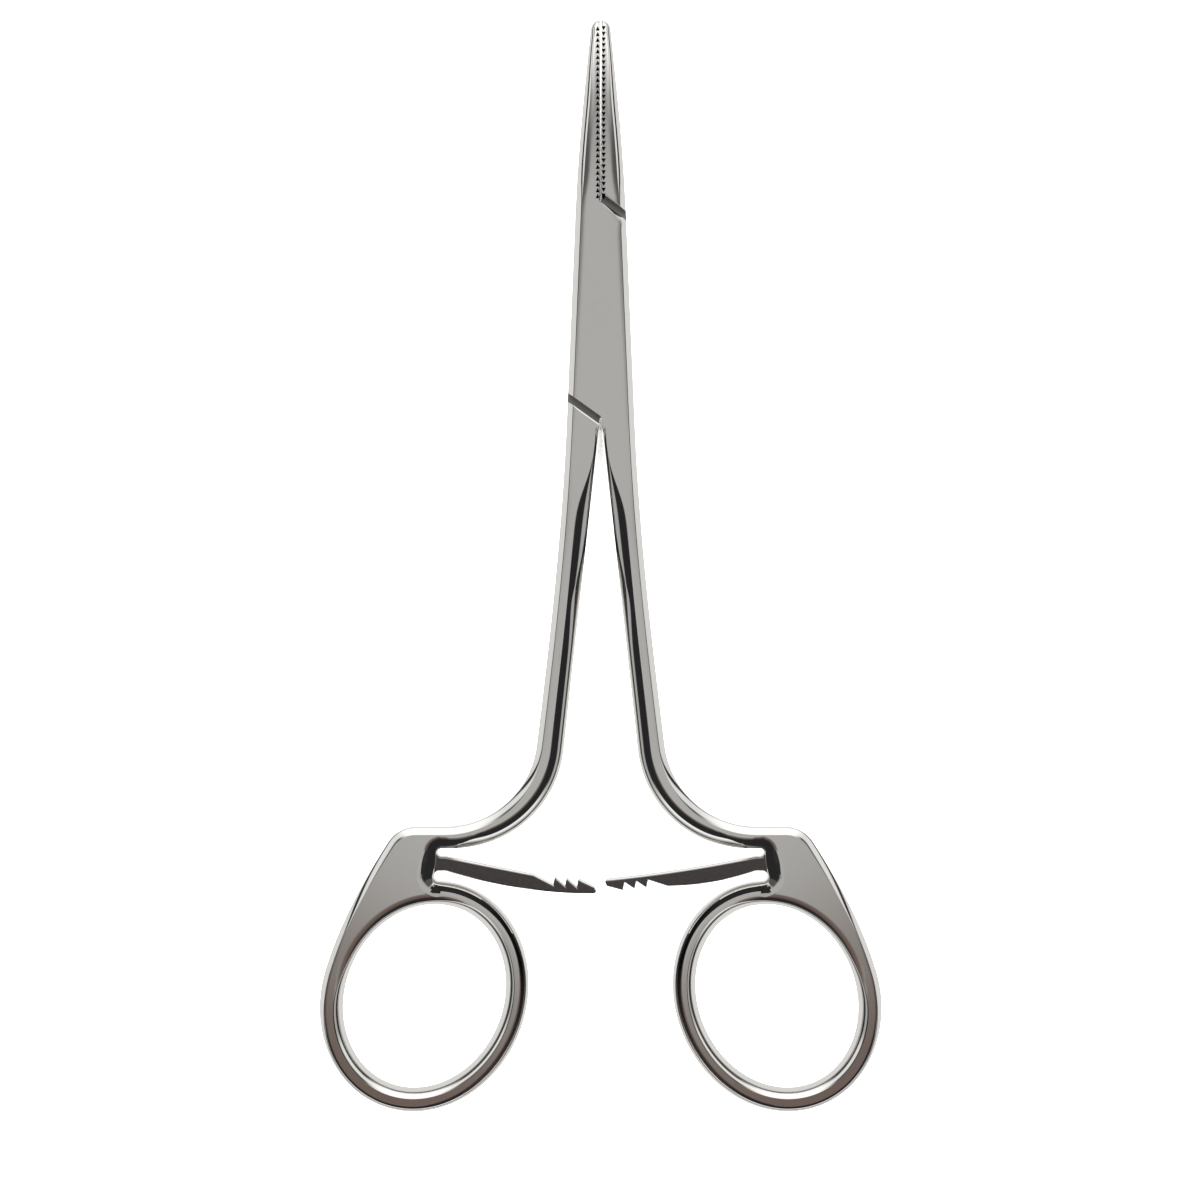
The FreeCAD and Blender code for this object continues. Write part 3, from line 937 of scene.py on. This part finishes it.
def light_tent():
    """The tent as the steel mirrors it, blended round the compass, and white for other light."""
    world = bpy.data.worlds.new("light tent")
    bpy.context.scene.world = world
    world.use_nodes = True
    nodes, links = world.node_tree.nodes, world.node_tree.links
    roof = (0.61, 0.61, 0.61)
    gap = (0.025, 0.025, 0.028)
    panel = (0.55, 0.55, 0.55)
    bright = (1.6, 1.6, 1.6)
    shade = (0.42, 0.42, 0.42)
    dusk = (0.38, 0.355, 0.34)
    haze = (0.12, 0.12, 0.12)
    side_bright = (1.1, 1.1, 1.1)
    cloud = (0.52, 0.52, 0.52)
    wood = (0.2, 0.145, 0.127)
    sides = tent_ramp(nodes, [
        (0, roof), (8, roof), (12, gap), (55, gap), (60, panel), (76, panel), (80, gap),
    ])
    quarter = tent_ramp(nodes, [
        (0, roof), (8, roof), (12, haze), (55, haze), (60, side_bright), (78, side_bright), (82, gap),
    ])
    front = tent_ramp(nodes, [
        (0, roof), (9, roof), (13, cloud), (19.5, shade), (25.5, bright), (84, bright), (89, gap),
    ])
    back = tent_ramp(nodes, [
        (0, roof), (6.6, roof), (8.4, dusk), (10.4, wood), (14, wood),
        (18, gap), (48, gap), (54, bright), (86, gap),
    ])
    place = nodes.new("ShaderNodeTexCoord")
    parts = nodes.new("ShaderNodeSeparateXYZ")
    links.new(place.outputs["Generated"], parts.inputs["Vector"])
    down = nodes.new("ShaderNodeMath")
    down.operation = "ARCCOSINE"
    links.new(parts.outputs["Z"], down.inputs[0])
    share = nodes.new("ShaderNodeMath")
    share.operation = "DIVIDE"
    share.inputs[1].default_value = math.pi
    links.new(down.outputs["Value"], share.inputs[0])
    for ramp in (sides, quarter, front, back):
        links.new(share.outputs["Value"], ramp.inputs["Fac"])
    flat_way = nodes.new("ShaderNodeVectorMath")
    flat_way.operation = "MULTIPLY"
    flat_way.inputs[1].default_value = (1, 1, 0)
    links.new(place.outputs["Generated"], flat_way.inputs[0])
    compass = nodes.new("ShaderNodeVectorMath")
    compass.operation = "NORMALIZE"
    links.new(flat_way.outputs["Vector"], compass.inputs[0])
    heading = nodes.new("ShaderNodeSeparateXYZ")
    links.new(compass.outputs["Vector"], heading.inputs["Vector"])
    blended = sides.outputs["Color"]
    for ramp, low, high in ((quarter, 0.05, 0.3), (front, 0.7, 0.95), (back, -0.45, -0.75)):
        weight = nodes.new("ShaderNodeMapRange")
        weight.interpolation_type = "SMOOTHSTEP"
        weight.inputs["From Min"].default_value = low
        weight.inputs["From Max"].default_value = high
        links.new(heading.outputs["Y"], weight.inputs["Value"])
        mixed = nodes.new("ShaderNodeMix")
        mixed.data_type = "RGBA"
        links.new(weight.outputs["Result"], mixed.inputs["Factor"])
        links.new(blended, mixed.inputs["A"])
        links.new(ramp.outputs["Color"], mixed.inputs["B"])
        blended = mixed.outputs["Result"]
    rays = nodes.new("ShaderNodeLightPath")
    plain = nodes.new("ShaderNodeMix")
    plain.data_type = "RGBA"
    plain.inputs["A"].default_value = (1.0, 1.0, 1.0, 1.0)
    links.new(rays.outputs["Is Glossy Ray"], plain.inputs["Factor"])
    links.new(blended, plain.inputs["B"])
    links.new(plain.outputs["Result"], nodes["Background"].inputs["Color"])


light_tent()

# The camera looks straight down on the middle of the instrument, as the photograph does.
frame_width = 0.1367
view_middle_x = -0.00008
camera_height = 0.32
view_middle_y = -0.03313
camera = bpy.data.objects.new("camera", bpy.data.cameras.new("camera"))
camera.data.sensor_width = 36.0
camera.data.lens = 36.0 * camera_height / frame_width
camera.data.clip_start = 0.01
camera.location = (view_middle_x, view_middle_y, (box_middle + shank_thickness / 2) * mm + camera_height)
bpy.context.scene.collection.objects.link(camera)
bpy.context.scene.camera = camera
bpy.context.scene.view_settings.view_transform = "Standard"
